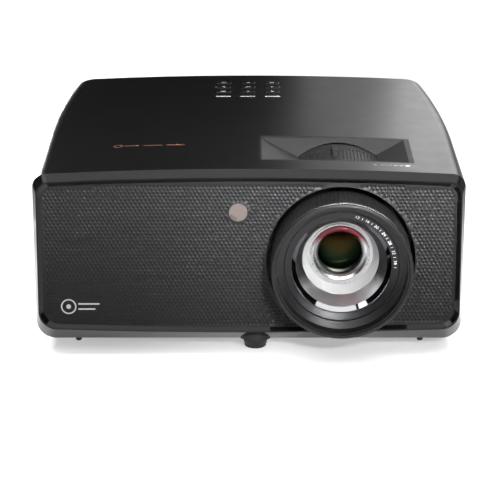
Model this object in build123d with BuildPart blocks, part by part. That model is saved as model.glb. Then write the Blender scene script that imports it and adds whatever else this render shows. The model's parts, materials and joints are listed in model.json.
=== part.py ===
from build123d import *
import math
import os

# Home projector, millimetres. The lens looks along -Y, the top faces +Z and the origin is on the
# surface it stands on, under the middle of the whole object.

# ---------------------------------------------------------------- driving dimensions
HALF_WIDTH = 200.0
CASE_BOTTOM_Z = 10.0
CASE_TOP_Z = 177.0
CROWN = 5.6                 # how much lower the top is at its sides than along the middle
WALL = 3.0
SHOULDER_R = 13.0
KEEL_R = 18.0
CORNER_R = 22.0
SIDE_SWEEP_R = 1450.0       # the sides draw in towards the back on this radius
SIDE_SWEEP_START_Y = -22.0
REAR_Y = 198.0
CASE_FRONT_Y = -154.0
PART_LINE_Z = 58.0

RIM_Y = -172.0              # lower edge of the front rim
RIM_LOW_Z = 22.4
RIM_HEIGHT = 148.3
RIM_HALF_WIDTH = 196.6
FRONT_LEAN = 5.0            # degrees that the front leans back
PANEL_DEPTH = 3.0
PANEL_THICKNESS = 2.2
PANEL_INSET = 4.6
LEDGE_INSET = 8.0
BEZEL_BACK_Y = -147.0

IR_SPOT = (-10.1, 114.5)    # on the leaning front
IR_R = 8.3

LENS_X = 85.3
LENS_Z = 91.2
LENS_FRONT_Y = -198.0
LENS_OPENING_R = 69.2
FLANGE_R = 64.9
BARREL_R = 61.4
BARREL_BORE_R = 53.3
CELL_R = 53.0
RUNNING_GAP = 0.3
ZOOM_RIM_R = 80.0
ZOOM_SECTOR = 52.0          # half angle of the ribbed zoom sector
LENS_PLATE_Y = RIM_Y + 125.0

WELL_LEFT_X = 12.0
WELL_RIGHT_X = 153.5
WELL_FRONT_Y = -124.0
WELL_REAR_Y = -47.0
WELL_EDGE_Z = 175.5
WELL_SKIN = 2.0
WELL_SIDE_SLOPE = math.radians(21.0)
WELL_REAR_SLOPE = math.radians(33.0)

KEY_PITCH_X = 25.4
KEY_CENTRE_X = -1.2
KEY_ROWS_Y = (156.0, 138.4, 120.0)
KEY_SIZE = (16.0, 10.0)
KEY_GAP = 0.35
KEY_TOP_Z = 177.1
LED_Y = 100.5
LED_SIZE = (15.6, 2.6)
BOARD_THICKNESS = 1.6
KEYPAD_BOARD_Z = 158.0

FOOT_SPOTS = {"front": (6.0, -147.0), "rear_left": (-155.0, 150.0), "rear_right": (155.0, 150.0)}
FOOT_R = 12.7
FOOT_POCKET_R = 14.2
FOOT_POCKET_TOP_Z = 14.6
STEM_R = 4.0
STEM_GAP = 0.06

INTAKE_CENTRES = ((-75.0, -90.0), (85.0, 10.0))
INSERT_SPACING = (300.0, 200.0)
INSERT_CENTRE_Y = 10.0
INSERT_BORE_R = 2.0
INSERT_R = 4.0
INSERT_TOP_Z = 20.0
SCREW_SPOTS = ((-178.0, -134.0), (178.0, -134.0), (-160.0, 172.0), (160.0, 172.0))
SCREW_R = 1.5
PILLAR_R = 5.0
PILLAR_MEET_Z = 30.0        # where the upper and lower screw pillars meet
BOSS_R = 6.0                # brass nut over each foot
PLATE_Z = CASE_BOTTOM_Z + WALL
PLATE_THICKNESS = 1.5
FLOOR_Z = PLATE_Z + PLATE_THICKNESS

REAR_WINDOW = (-165.0, 165.0, 28.0, 150.0)
REAR_PANEL_Y = (193.0, 196.0)
GRILLE_Z = (66.0, 148.0)
GRILLE_LEFT_Y = (-128.0, 96.0)
GRILLE_RIGHT_Y = (-70.0, 132.0)

FAN_SIZE = 92.0
FAN_DEPTH = 25.0
FAN_SPOTS = {"front_left": (-176.0, -76.0), "rear_left": (-176.0, 30.0), "right": (176.0, 50.0)}
FAN_Z = 74.0
WHEEL_CENTRE = (2.0, 20.0, 85.0)

os.makedirs("parts", exist_ok=True)

# ---------------------------------------------------------------- shared frames and helpers
# The lens profile plane holds (distance behind the lower front rim, radius) pairs.
LENS_PROFILE = Plane(origin=(LENS_X, RIM_Y, LENS_Z), x_dir=(0, 1, 0), z_dir=(1, 0, 0))
LENS_AXIS = Axis((LENS_X, RIM_Y, LENS_Z), (0, 1, 0))
LEAN = math.radians(FRONT_LEAN)


def across(y):
    """Upright plane at this Y, facing the front, with X to the right and Z up."""
    return Plane.XZ.offset(-y)


def lens_plane(behind_rim):
    """Upright plane centred on the lens axis."""
    return Plane(origin=(LENS_X, RIM_Y + behind_rim, LENS_Z), x_dir=(1, 0, 0), z_dir=(0, -1, 0))


def front_plane(depth):
    """Plane parallel to the leaning front, this far behind the rim."""
    normal = (0, -math.cos(LEAN), math.sin(LEAN))
    origin = (0, RIM_Y - depth * normal[1], RIM_LOW_Z - depth * normal[2])
    return Plane(origin=origin, x_dir=(1, 0, 0), z_dir=normal)


def save(piece, label):
    piece.part.label = label
    export_step(piece.part, f"parts/{label}.step")


def block(low, high, mode=Mode.ADD):
    """Box between two opposite corners, in the part being built."""
    with BuildSketch(Plane.XY.offset(low[2])) as base:
        with Locations(((low[0] + high[0]) / 2, (low[1] + high[1]) / 2)):
            Rectangle(high[0] - low[0], high[1] - low[1])
    extrude(base.sketch, amount=high[2] - low[2], mode=mode)


def post(spot, radius, low_z, high_z, mode=Mode.ADD):
    """Upright cylinder in the part being built."""
    with BuildSketch(Plane.XY.offset(low_z)) as base:
        with Locations(spot):
            Circle(radius)
    extrude(base.sketch, amount=high_z - low_z, mode=mode)


def turn(points, mode=Mode.ADD):
    """Ring about the lens axis from its half section, in the part being built."""
    with BuildSketch(LENS_PROFILE) as half:
        with BuildLine():
            Polyline(*points, close=True)
        make_face()
    revolve(half.sketch, axis=LENS_AXIS, mode=mode)


def rounded_section(plane, half_width, low, high, top_crown, low_crown, top_r, low_r):
    """Sketch with a bowed top, a flat or bowed bottom and four rounded corners."""
    with BuildSketch(plane) as section:
        with BuildLine():
            ThreePointArc((-half_width, high - top_crown), (0, high), (half_width, high - top_crown))
            Line((half_width, high - top_crown), (half_width, low + low_crown))
            if low_crown:
                ThreePointArc((half_width, low + low_crown), (0, low), (-half_width, low + low_crown))
            else:
                Line((half_width, low), (-half_width, low))
            Line((-half_width, low + low_crown), (-half_width, high - top_crown))
        make_face()
        fillet(section.vertices().sort_by(Axis.Y)[-2:], top_r)
        fillet(section.vertices().sort_by(Axis.Y)[:2], low_r)
    return section.sketch


def case_section(y, inset):
    """Front view outline of the case, moved inwards by inset."""
    return rounded_section(across(y), HALF_WIDTH - inset, CASE_BOTTOM_Z + inset, CASE_TOP_Z - inset,
                           CROWN, 0, SHOULDER_R - inset, KEEL_R - inset)


def rim_section(depth, inset):
    """Outline of the front rim at a depth behind it, moved inwards by inset."""
    return rounded_section(front_plane(depth), RIM_HALF_WIDTH - inset, inset, RIM_HEIGHT - inset,
                           5.0, 3.5, 12.0 - inset / 2, 17.0 - inset / 2)


def case_volume(inset, front_y=CASE_FRONT_Y):
    """Outer form of the case behind the bezel, moved inwards by inset on every side but the front."""
    side = HALF_WIDTH - inset
    sweep = REAR_Y - SIDE_SWEEP_START_Y
    rear_half = side - sweep**2 / (2 * SIDE_SWEEP_R)
    middle_half = side - (sweep / 2) ** 2 / (2 * SIDE_SWEEP_R)
    middle_y = SIDE_SWEEP_START_Y + sweep / 2
    rear_y = REAR_Y - inset
    with BuildPart() as volume:
        with BuildSketch(Plane.XY.offset(CASE_BOTTOM_Z + inset)) as plan:
            with BuildLine():
                Polyline((-side, SIDE_SWEEP_START_Y), (-side, front_y), (side, front_y),
                         (side, SIDE_SWEEP_START_Y))
                ThreePointArc((side, SIDE_SWEEP_START_Y), (middle_half, middle_y), (rear_half, rear_y))
                Line((rear_half, rear_y), (-rear_half, rear_y))
                ThreePointArc((-rear_half, rear_y), (-middle_half, middle_y), (-side, SIDE_SWEEP_START_Y))
            make_face()
            fillet(plan.vertices().sort_by(Axis.Y)[-2:], CORNER_R - inset)
        extrude(amount=CASE_TOP_Z - CASE_BOTTOM_Z)
        top_z = CASE_TOP_Z - inset
        with BuildSketch(across(REAR_Y + WALL)):
            with BuildLine():
                ThreePointArc((-HALF_WIDTH, top_z - CROWN), (0, top_z), (HALF_WIDTH, top_z - CROWN))
                Polyline((HALF_WIDTH, top_z - CROWN), (HALF_WIDTH, 0), (-HALF_WIDTH, 0),
                         (-HALF_WIDTH, top_z - CROWN))
            make_face()
        extrude(amount=2 * REAR_Y + 2 * WALL, mode=Mode.INTERSECT)
        top_face = volume.faces().sort_by(Axis.Z)[-1]
        fillet([e for e in top_face.edges() if e.center().Y > front_y + 1], SHOULDER_R - inset)
        low_face = volume.faces().sort_by(Axis.Z)[0]
        fillet([e for e in low_face.edges() if e.center().Y > front_y + 1], KEEL_R - inset)
    return volume.part


def axial_ribs(angles, radius, width, height, start, end, mode=Mode.SUBTRACT):
    """Ribs or grooves along the lens axis at these angles from the top, between two distances."""
    spots = [Pos(radius * math.sin(math.radians(a)), radius * math.cos(math.radians(a))) * Rot(0, 0, -a)
             for a in angles]
    with BuildSketch(lens_plane(end)) as ends:
        with Locations(spots):
            Rectangle(width, height)
    extrude(ends.sketch, amount=end - start, mode=mode)


def bore(radius, front_y, back_y, mode=Mode.SUBTRACT):
    """Cylinder on the lens axis between two Y values, in the part being built."""
    with BuildSketch(across(back_y)) as circle:
        with Locations((LENS_X, LENS_Z)):
            Circle(radius)
    extrude(circle.sketch, amount=back_y - front_y, mode=mode)


def lens_disc(front_rim, front_apex, back_apex, back_rim, radius):
    """Round lens from the distances of its rims and of its two curved faces' middles."""
    def halfway(rim, apex):
        sag = rim - apex
        sphere = (radius**2 + sag**2) / (2 * abs(sag))
        return apex + math.copysign(sphere - math.sqrt(sphere**2 - (radius / 2) ** 2), sag)

    with BuildSketch(LENS_PROFILE) as half:
        with BuildLine():
            ThreePointArc((front_rim, radius), (halfway(front_rim, front_apex), radius / 2),
                          (front_apex, 0))
            Line((front_apex, 0), (back_apex, 0))
            ThreePointArc((back_apex, 0), (halfway(back_rim, back_apex), radius / 2),
                          (back_rim, radius))
            Line((back_rim, radius), (front_rim, radius))
        make_face()
    revolve(half.sketch, axis=LENS_AXIS)


def well_prism(grow):
    """Zoom well: a trough with sloping sides and rear, grown outwards by grow."""
    left = WELL_LEFT_X - grow
    right = WELL_RIGHT_X + grow
    front = WELL_FRONT_Y - grow
    rear = WELL_REAR_Y + grow
    sky = CASE_TOP_Z + 20
    side_drop = grow / math.cos(WELL_SIDE_SLOPE) - grow * math.tan(WELL_SIDE_SLOPE)
    rear_drop = grow / math.cos(WELL_REAR_SLOPE) - grow * math.tan(WELL_REAR_SLOPE)
    middle = (left + right) / 2
    side_z = WELL_EDGE_Z - side_drop
    low_z = side_z - (right - left) / 2 * math.tan(WELL_SIDE_SLOPE)
    rear_z = WELL_EDGE_Z - rear_drop
    front_z = rear_z - (rear - front) * math.tan(WELL_REAR_SLOPE)
    with BuildPart() as trough:
        with BuildSketch(across(rear)):
            with BuildLine():
                Polyline((left, sky), (left, side_z), (middle, low_z), (right, side_z), (right, sky),
                         close=True)
            make_face()
        extrude(amount=rear - front)
        with BuildSketch(Plane.YZ.offset(left)):
            with BuildLine():
                Polyline((front, sky), (front, front_z), (rear, rear_z), (rear, sky), close=True)
            make_face()
        extrude(amount=right - left, mode=Mode.INTERSECT)
    return trough.part


case_outer = case_volume(0)
case_inner = case_volume(WALL, CASE_FRONT_Y - WALL)
skin_inner = case_volume(0.6, CASE_FRONT_Y - WALL)
well_outer = well_prism(WELL_SKIN)
well_inner = well_prism(0)
key_spots = [(KEY_CENTRE_X + (column - 1) * KEY_PITCH_X, y) for y in KEY_ROWS_Y for column in range(3)]
led_spots = [(KEY_CENTRE_X + (column - 1) * KEY_PITCH_X, LED_Y) for column in range(3)]
insert_spots = [(sx * INSERT_SPACING[0] / 2, INSERT_CENTRE_Y + sy * INSERT_SPACING[1] / 2)
                for sx in (-1, 1) for sy in (-1, 1)]

# ---------------------------------------------------------------- case
# Copper inlay on the top: a ring and a row of short bars, cut 0.6 mm into the cover.
INLAY_Y = -74.0
INLAY_BARS = ((-112.0, 14.0), (-92.0, 18.0), (-70.0, 18.0))


def inlay_outline(low_z, high_z, mode):
    with BuildSketch(Plane.XY.offset(low_z)) as marks:
        with Locations((-125.0, INLAY_Y)):
            Circle(4.6)
            Circle(2.8, mode=Mode.SUBTRACT)
        for x, length in INLAY_BARS:
            with Locations((x, INLAY_Y)):
                SlotOverall(length, 3.0)
    extrude(marks.sketch, amount=high_z - low_z, mode=mode)


with BuildPart() as top_inlay:
    add(case_outer)
    add(skin_inner, mode=Mode.SUBTRACT)
    inlay_outline(150, 200, Mode.INTERSECT)

with BuildPart() as top_cover:
    add(case_outer)
    add(case_inner, mode=Mode.SUBTRACT)
    split(bisect_by=Plane.XY.offset(PART_LINE_Z), keep=Keep.TOP)
    block((REAR_WINDOW[0], REAR_Y - 15, REAR_WINDOW[2]), (REAR_WINDOW[1], REAR_Y + 5, REAR_WINDOW[3]),
          Mode.SUBTRACT)
    for side, (start, end) in ((-1, GRILLE_LEFT_Y), (1, GRILLE_RIGHT_Y)):
        low_x, high_x = sorted((side * (HALF_WIDTH - 20), side * (HALF_WIDTH + 5)))
        block((low_x, start, GRILLE_Z[0]), (high_x, end, GRILLE_Z[1]), Mode.SUBTRACT)
    # screw pillars reach down from the top, and short ones carry the keypad board
    pillar_top = CASE_TOP_Z - CROWN
    for spot in SCREW_SPOTS:
        post(spot, PILLAR_R, PILLAR_MEET_Z, pillar_top - 1)
        post(spot, SCREW_R, PILLAR_MEET_Z, 46.0, Mode.SUBTRACT)
    for x in (-39.0, 36.0):
        for y in (92.0, 166.0):
            post((x, y), 3.0, KEYPAD_BOARD_Z + BOARD_THICKNESS, CASE_TOP_Z - WALL + 0.2)
    add(well_outer, mode=Mode.SUBTRACT)
    with BuildSketch(Plane.XY.offset(150)):
        with Locations(key_spots):
            RectangleRounded(KEY_SIZE[0], KEY_SIZE[1], 2.0)
        with Locations(led_spots):
            RectangleRounded(LED_SIZE[0], LED_SIZE[1], 1.0)
    extrude(amount=40, mode=Mode.SUBTRACT)
    add(top_inlay.part, mode=Mode.SUBTRACT)

with BuildPart() as bottom_case:
    add(case_outer)
    add(case_inner, mode=Mode.SUBTRACT)
    split(bisect_by=Plane.XY.offset(PART_LINE_Z), keep=Keep.BOTTOM)
    block((REAR_WINDOW[0], REAR_Y - 15, REAR_WINDOW[2]), (REAR_WINDOW[1], REAR_Y + 5, REAR_WINDOW[3]),
          Mode.SUBTRACT)
    for spot in SCREW_SPOTS:
        post(spot, PILLAR_R, CASE_BOTTOM_Z, PILLAR_MEET_Z)
        post(spot, SCREW_R + 0.2, 0, PILLAR_MEET_Z, Mode.SUBTRACT)
        post(spot, 3.4, 0, CASE_BOTTOM_Z + 2.8, Mode.SUBTRACT)
    for spot in insert_spots:
        post(spot, INSERT_R + 3, CASE_BOTTOM_Z, INSERT_TOP_Z)
        post(spot, INSERT_R, CASE_BOTTOM_Z - 1, INSERT_TOP_Z, Mode.SUBTRACT)
    for spot in FOOT_SPOTS.values():
        # each foot turns in a round pocket under the floor, with a nut boss over it
        post(spot, FOOT_POCKET_R + 2, CASE_BOTTOM_Z, FOOT_POCKET_TOP_Z + 2)
        post(spot, 9.0, CASE_BOTTOM_Z, 36.0)
        post(spot, FOOT_POCKET_R, CASE_BOTTOM_Z - 1, FOOT_POCKET_TOP_Z, Mode.SUBTRACT)
        post(spot, BOSS_R, CASE_BOTTOM_Z - 1, 38.0, Mode.SUBTRACT)
    # intake slots under the light engine and the power supply
    with BuildSketch(Plane.XY.offset(CASE_BOTTOM_Z - 1)):
        for centre in INTAKE_CENTRES:
            with Locations(centre):
                with GridLocations(8.0, 34.0, 10, 2):
                    SlotOverall(28.0, 3.0, rotation=90)
    extrude(amount=WALL + 2, mode=Mode.SUBTRACT)

# Gloss bezel: a bevelled frame from the leaning rim back to the case, with a lip inside the case
# and a stepped pocket that holds the front panel.
with BuildPart() as front_bezel:
    loft([rim_section(0, 0), case_section(CASE_FRONT_Y, 0)], ruled=True)
    extrude(case_section(BEZEL_BACK_Y, WALL), amount=BEZEL_BACK_Y - CASE_FRONT_Y)
    loft([rim_section(-0.1, 1.2), rim_section(PANEL_DEPTH, PANEL_INSET)], ruled=True,
         mode=Mode.SUBTRACT)
    extrude(rim_section(PANEL_DEPTH, PANEL_INSET), amount=-PANEL_THICKNESS, mode=Mode.SUBTRACT)
    extrude(rim_section(0, LEDGE_INSET), amount=-60, mode=Mode.SUBTRACT)
    bore(LENS_OPENING_R, RIM_Y - 10, CASE_FRONT_Y + 20)
    post(FOOT_SPOTS["front"], FOOT_POCKET_R + 2.2, 0, 40, Mode.SUBTRACT)

with BuildPart() as front_panel:
    extrude(rim_section(PANEL_DEPTH, PANEL_INSET), amount=-PANEL_THICKNESS)
    bore(LENS_OPENING_R, RIM_Y - 10, CASE_FRONT_Y + 20)
    with BuildSketch(front_plane(0)):
        with Locations(IR_SPOT):
            Circle(IR_R + 0.1)
    extrude(amount=-10, mode=Mode.SUBTRACT)

with BuildPart() as ir_window:
    with BuildSketch(front_plane(PANEL_DEPTH - 0.2)):
        with Locations(IR_SPOT):
            Circle(IR_R)
    extrude(amount=-PANEL_THICKNESS - 0.2)
    chamfer(ir_window.faces().sort_by(Axis.Y)[0].edges(), 0.3)
    # flange that holds it behind the panel
    with BuildSketch(front_plane(PANEL_DEPTH + PANEL_THICKNESS)):
        with Locations(IR_SPOT):
            Circle(IR_R + 2.5)
    extrude(amount=-1.2)

# Plain ring and two bars, raised on the panel's lower left corner.
with BuildPart() as front_badge:
    with BuildSketch(front_plane(PANEL_DEPTH)):
        with Locations((-168.4, 24.4)):
            Circle(7.2)
            Circle(6.0, mode=Mode.SUBTRACT)
            Circle(2.2)
        with Locations((-149.5, 27.0)):
            SlotOverall(20.0, 1.4)
        with Locations((-151.5, 22.0)):
            SlotOverall(16.0, 1.4)
    extrude(amount=0.4)


def side_grille(side, span):
    """Louvred panel cut from the case's own side, so that it keeps the side's sweep."""
    low_x, high_x = sorted((side * (HALF_WIDTH - 20), side * (HALF_WIDTH + 5)))
    length = span[1] - span[0]
    with BuildPart() as grille:
        add(grille_skin)
        block((low_x, span[0], GRILLE_Z[0]), (high_x, span[1], GRILLE_Z[1]), Mode.INTERSECT)
        plane = Plane(origin=(side * (HALF_WIDTH - 30), sum(span) / 2, sum(GRILLE_Z) / 2),
                      x_dir=(0, 1, 0), z_dir=(1, 0, 0))
        with BuildSketch(plane):
            with GridLocations(length / 6, 7.2, 6, 10):
                SlotOverall(length / 6 - 5.0, 3.8)
        extrude(amount=60 * side, mode=Mode.SUBTRACT)
    return grille


grille_outer = case_volume(0.8)
with BuildPart() as grille_shell:
    add(grille_outer)
    add(case_inner, mode=Mode.SUBTRACT)
grille_skin = grille_shell.part
side_grille_left = side_grille(-1, GRILLE_LEFT_Y)
side_grille_right = side_grille(1, GRILLE_RIGHT_Y)

with BuildPart() as zoom_well:
    add(well_outer)
    add(well_inner, mode=Mode.SUBTRACT)
    add(case_outer, mode=Mode.INTERSECT)
    bore(ZOOM_RIM_R + 0.8, RIM_Y + 57.0, RIM_Y + 127.0)
    bore(BARREL_R + 1.6, RIM_Y + 40.0, RIM_Y + 60.0)

for piece, label in ((top_inlay, "top_inlay"), (top_cover, "top_cover"), (bottom_case, "bottom_case"),
                     (front_bezel, "front_bezel"), (front_panel, "front_panel"),
                     (ir_window, "ir_window"), (front_badge, "front_badge"),
                     (side_grille_left, "side_grille_left"), (side_grille_right, "side_grille_right"),
                     (zoom_well, "zoom_well")):
    save(piece, label)

# Rear panel: sockets, speaker slots, an exhaust grid and a security slot.
REAR_SOCKETS = {            # centre (x, z), shell (width, height), hollow (width, height)
    "video_1": ((-140.0, 60.0), (16.0, 6.6), (14.4, 5.0)),
    "video_2": ((-116.0, 60.0), (16.0, 6.6), (14.4, 5.0)),
    "usb_1": ((-94.0, 60.0), (14.4, 7.4), (12.8, 5.8)),
    "usb_2": ((-74.0, 60.0), (14.4, 7.4), (12.8, 5.8)),
    "network": ((-50.0, 62.0), (16.4, 14.0), (12.4, 9.0)),
    "serial": ((-20.0, 60.0), (26.0, 12.0), (18.0, 9.0)),
}
REAR_JACKS = ((8.0, 60.0), (24.0, 60.0), (40.0, 60.0))
JACK_R = 4.6
JACK_BORE_R = 1.8
INLET_CENTRE = (118.0, 52.0)
INLET_SIZE = (31.0, 24.0)
SPEAKER_SPOTS = ((92.0, 112.0), (-126.0, 112.0))
MAIN_BOARD_Y = 176.0
BOARD_BACK_Y = MAIN_BOARD_Y + BOARD_THICKNESS
rear_plane = Plane(origin=(0, REAR_PANEL_Y[0] - 1, 0), x_dir=(1, 0, 0), z_dir=(0, -1, 0))

with BuildPart() as rear_panel:
    block((REAR_WINDOW[0], REAR_PANEL_Y[0], REAR_WINDOW[2]),
          (REAR_WINDOW[1], REAR_PANEL_Y[1], REAR_WINDOW[3]))
    with BuildSketch(rear_plane):
        for centre, shell, hollow in REAR_SOCKETS.values():
            with Locations(centre):
                Rectangle(shell[0] + 0.6, shell[1] + 0.6)
        with Locations(REAR_JACKS):
            Circle(JACK_R + 0.3)
        with Locations(INLET_CENTRE):
            Rectangle(INLET_SIZE[0] - 2.6, INLET_SIZE[1] - 2.6)
        with Locations(SPEAKER_SPOTS):
            with GridLocations(0, 6.0, 1, 6):
                SlotOverall(44.0, 2.6)
        with Locations((-20.0, 112.0)):
            with GridLocations(30.0, 6.0, 4, 8):
                SlotOverall(26.0, 3.0)
        with Locations((66.0, 60.0)):
            Rectangle(7.0, 3.2)
    extrude(amount=-12, mode=Mode.SUBTRACT)

with BuildPart() as io_connectors:
    for centre, shell, hollow in REAR_SOCKETS.values():
        with BuildSketch(across(BOARD_BACK_Y)):
            with Locations(centre):
                Rectangle(*shell)
        extrude(amount=BOARD_BACK_Y - REAR_PANEL_Y[1] - 0.6)
        with BuildSketch(across(BOARD_BACK_Y + 3)):
            with Locations(centre):
                Rectangle(*hollow)
        extrude(amount=-30, mode=Mode.SUBTRACT)
    with BuildSketch(across(BOARD_BACK_Y)):
        with Locations(REAR_JACKS):
            Circle(JACK_R)
    extrude(amount=BOARD_BACK_Y - REAR_PANEL_Y[1] - 0.6)
    with BuildSketch(across(BOARD_BACK_Y + 5)):
        with Locations(REAR_JACKS):
            Circle(JACK_BORE_R)
    extrude(amount=-30, mode=Mode.SUBTRACT)
    # tongues in the flat sockets
    for name, thickness in (("video_1", 0.8), ("video_2", 0.8), ("usb_1", 1.6), ("usb_2", 1.6)):
        centre, shell, hollow = REAR_SOCKETS[name]
        with BuildSketch(across(BOARD_BACK_Y + 2.5)):
            with Locations((centre[0], centre[1] + 1.0)):
                Rectangle(hollow[0] - 2.4, thickness)
        extrude(amount=-12)

# Three-pin mains inlet with its flange behind the rear panel.
with BuildPart() as ac_inlet:
    with BuildSketch(across(REAR_PANEL_Y[0])):
        with Locations(INLET_CENTRE):
            Rectangle(INLET_SIZE[0] + 16, INLET_SIZE[1])
    extrude(amount=3)
    with BuildSketch(across(168.0)):
        with Locations(INLET_CENTRE):
            Rectangle(INLET_SIZE[0] - 3, INLET_SIZE[1] - 3)
    extrude(amount=-(REAR_PANEL_Y[1] - 168.0))
    with BuildSketch(across(176.0)) as recess:
        with Locations(INLET_CENTRE):
            Rectangle(24.4, 16.6)
        chamfer(recess.vertices().sort_by(Axis.Y)[-2:], 4.0)
    extrude(amount=-30, mode=Mode.SUBTRACT)
    with BuildSketch(across(174.0)):
        for dx, dz in ((-7.0, -2.4), (7.0, -2.4), (0.0, -4.6)):
            with Locations((INLET_CENTRE[0] + dx, INLET_CENTRE[1] + dz)):
                Rectangle(2.0, 4.0)
    extrude(amount=-16)

with BuildPart() as speakers:
    for x, z in SPEAKER_SPOTS:
        block((x - 26, BOARD_BACK_Y + 1.4, z - 22), (x + 26, REAR_PANEL_Y[0], z + 22))
    with BuildSketch(across(REAR_PANEL_Y[0] + 1)):
        with Locations(SPEAKER_SPOTS):
            Circle(18.0)
    extrude(amount=5.0, mode=Mode.SUBTRACT)
    with BuildSketch(across(REAR_PANEL_Y[0] - 4.0)):
        with Locations(SPEAKER_SPOTS):
            Circle(6.0)
    extrude(amount=-2.6)

# ---------------------------------------------------------------- keypad
KEY_NAMES = ("power_key", "up_key", "menu_key", "left_key", "enter_key", "right_key",
             "source_key", "down_key", "back_key")
UNDER_COVER_Z = CASE_TOP_Z - WALL - 0.1
SWITCH_TOP_Z = KEYPAD_BOARD_Z + BOARD_THICKNESS + 2.4
KEY_TRAVEL = 0.8

for label, (x, y) in zip(KEY_NAMES, key_spots):
    with BuildPart() as key:
        with BuildSketch(Plane.XY.offset(UNDER_COVER_Z - 3.0)):
            with Locations((x, y)):
                RectangleRounded(KEY_SIZE[0] - 2 * KEY_GAP, KEY_SIZE[1] - 2 * KEY_GAP, 1.7)
        extrude(amount=KEY_TOP_Z - UNDER_COVER_Z + 3.0)
        fillet(key.faces().sort_by(Axis.Z)[-1].edges(), 0.8)
        block((x - 9.6, y - 6.4, UNDER_COVER_Z - 2.4), (x + 9.6, y + 6.4, UNDER_COVER_Z - 0.6))
        post((x, y), 2.0, SWITCH_TOP_Z + KEY_TRAVEL + 0.2, UNDER_COVER_Z - 2.4)
    save(key, label)

with BuildPart() as keypad_board:
    block((-45.0, 86.0, KEYPAD_BOARD_Z), (42.0, 171.0, KEYPAD_BOARD_Z + BOARD_THICKNESS))
    for x, y in key_spots:
        block((x - 3, y - 3, KEYPAD_BOARD_Z + BOARD_THICKNESS),
              (x + 3, y + 3, KEYPAD_BOARD_Z + BOARD_THICKNESS + 1.6))
        post((x, y), 1.7, KEYPAD_BOARD_Z + BOARD_THICKNESS, SWITCH_TOP_Z)

with BuildPart() as led_bars:
    with BuildSketch(Plane.XY.offset(KEYPAD_BOARD_Z + BOARD_THICKNESS)):
        with Locations(led_spots):
            RectangleRounded(LED_SIZE[0] - 0.1, LED_SIZE[1] - 0.1, 0.95)
    extrude(amount=CASE_TOP_Z + 0.1 - KEYPAD_BOARD_Z - BOARD_THICKNESS)

for piece, label in ((rear_panel, "rear_panel"), (io_connectors, "io_connectors"),
                     (ac_inlet, "ac_inlet"), (speakers, "speakers"),
                     (keypad_board, "keypad_board"), (led_bars, "led_bars")):
    save(piece, label)

# ---------------------------------------------------------------- projection lens
# Points are (distance behind the lower front rim, radius from the lens axis).
LENS_NOSE = LENS_FRONT_Y - RIM_Y

with BuildPart() as lens_barrel:
    turn([(-24.5, BARREL_R), (125.0, BARREL_R), (125.0, 30.0), (122.0, 30.0), (122.0, 57.5),
          (66.0, 57.5), (66.0, BARREL_BORE_R), (-10.3, BARREL_BORE_R), (-10.3, 53.8), (-14.0, 59.6),
          (-24.5, 60.2)])

with BuildPart() as focus_ring:
    inner = BARREL_R + RUNNING_GAP
    turn([(LENS_NOSE, 61.6), (LENS_NOSE, FLANGE_R - 0.7), (LENS_NOSE + 0.7, FLANGE_R), (-22.5, FLANGE_R),
          (-21.5, 63.9), (-20.0, 63.9), (-19.0, 65.3), (14.0, 65.3), (15.0, 64.0), (20.0, 64.0),
          (20.0, inner), (-24.0, inner)])
    axial_ribs([n * 4.0 for n in range(90)], 65.3, 1.5, 1.6, -18.0, 13.0)

with BuildPart() as scale_ring:
    turn([(-10.0, CELL_R), (-7.2, 46.2), (-6.2, 46.0), (-2.0, 42.4), (2.0, 40.5), (2.0, 44.0),
          (-6.6, CELL_R)])

with BuildPart() as focus_cell:
    turn([(-6.6, CELL_R), (2.0, 44.0), (2.0, 40.5), (12.6, 35.7), (13.0, 35.7), (13.0, 36.5),
          (35.0, 36.5), (35.0, 23.4), (46.0, 23.4), (46.0, 21.5), (48.0, 21.5),
          (48.0, 26.0), (38.0, 26.0), (38.0, 39.0), (15.0, 39.0),
          (11.0, 45.5), (11.0, 50.0), (60.0, 50.0), (60.0, CELL_R)])

with BuildPart() as reflector_cone:
    turn([(13.0, 36.4), (13.0, 35.5), (28.0, 30.9), (28.0, 29.4), (26.4, 29.2), (26.4, 27.6),
          (25.2, 27.4), (25.2, 26.0), (25.6, 25.0), (26.4, 23.6), (27.6, 22.2), (29.2, 21.0),
          (31.0, 20.4), (33.0, 20.3), (35.0, 21.0), (35.0, 36.4)])

with BuildPart() as front_lens:
    lens_disc(37.0, 33.0, 41.0, 46.0, 23.3)

LEVER_OFFSET = 2.5          # degrees from the top of the sector, towards the case's middle

with BuildPart() as zoom_ring:
    inner = BARREL_R + RUNNING_GAP
    turn([(60.0, inner), (60.0, 66.0), (116.0, 66.0), (116.0, inner)])
    turn([(85.0, 65.5), (85.0, 76.5), (58.5, 76.5), (58.5, ZOOM_RIM_R), (117.0, ZOOM_RIM_R),
          (117.0, 76.5), (91.0, 76.5), (91.0, 65.5)])
    reach = 2 * ZOOM_RIM_R
    edge = math.radians(ZOOM_SECTOR)
    with BuildSketch(lens_plane(130.0)):
        Circle(66.0)
        with BuildLine():
            Polyline((0, 0), (reach * math.sin(edge), reach * math.cos(edge)), (reach, reach * 1.2),
                     (-reach, reach * 1.2), (-reach * math.sin(edge), reach * math.cos(edge)),
                     close=True)
        make_face()
    extrude(amount=90.0, mode=Mode.INTERSECT)
    axial_ribs([n * 2.5 - 47.5 for n in range(39)], ZOOM_RIM_R, 1.7, 1.8, 68.0, 103.0)
    # thumb lever near the middle of the sector
    with BuildSketch(lens_plane(102.0)):
        with PolarLocations(ZOOM_RIM_R + 1.6, 1, start_angle=90.0 + LEVER_OFFSET):
            Rectangle(5.8, 4.8)
    extrude(amount=24.0)

with BuildPart() as zoom_cell:
    turn([(76.0, 57.2), (100.0, 57.2), (100.0, 54.0), (92.0, 54.0), (92.0, 27.0), (86.0, 27.0),
          (86.0, 54.0), (76.0, 54.0)])

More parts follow.
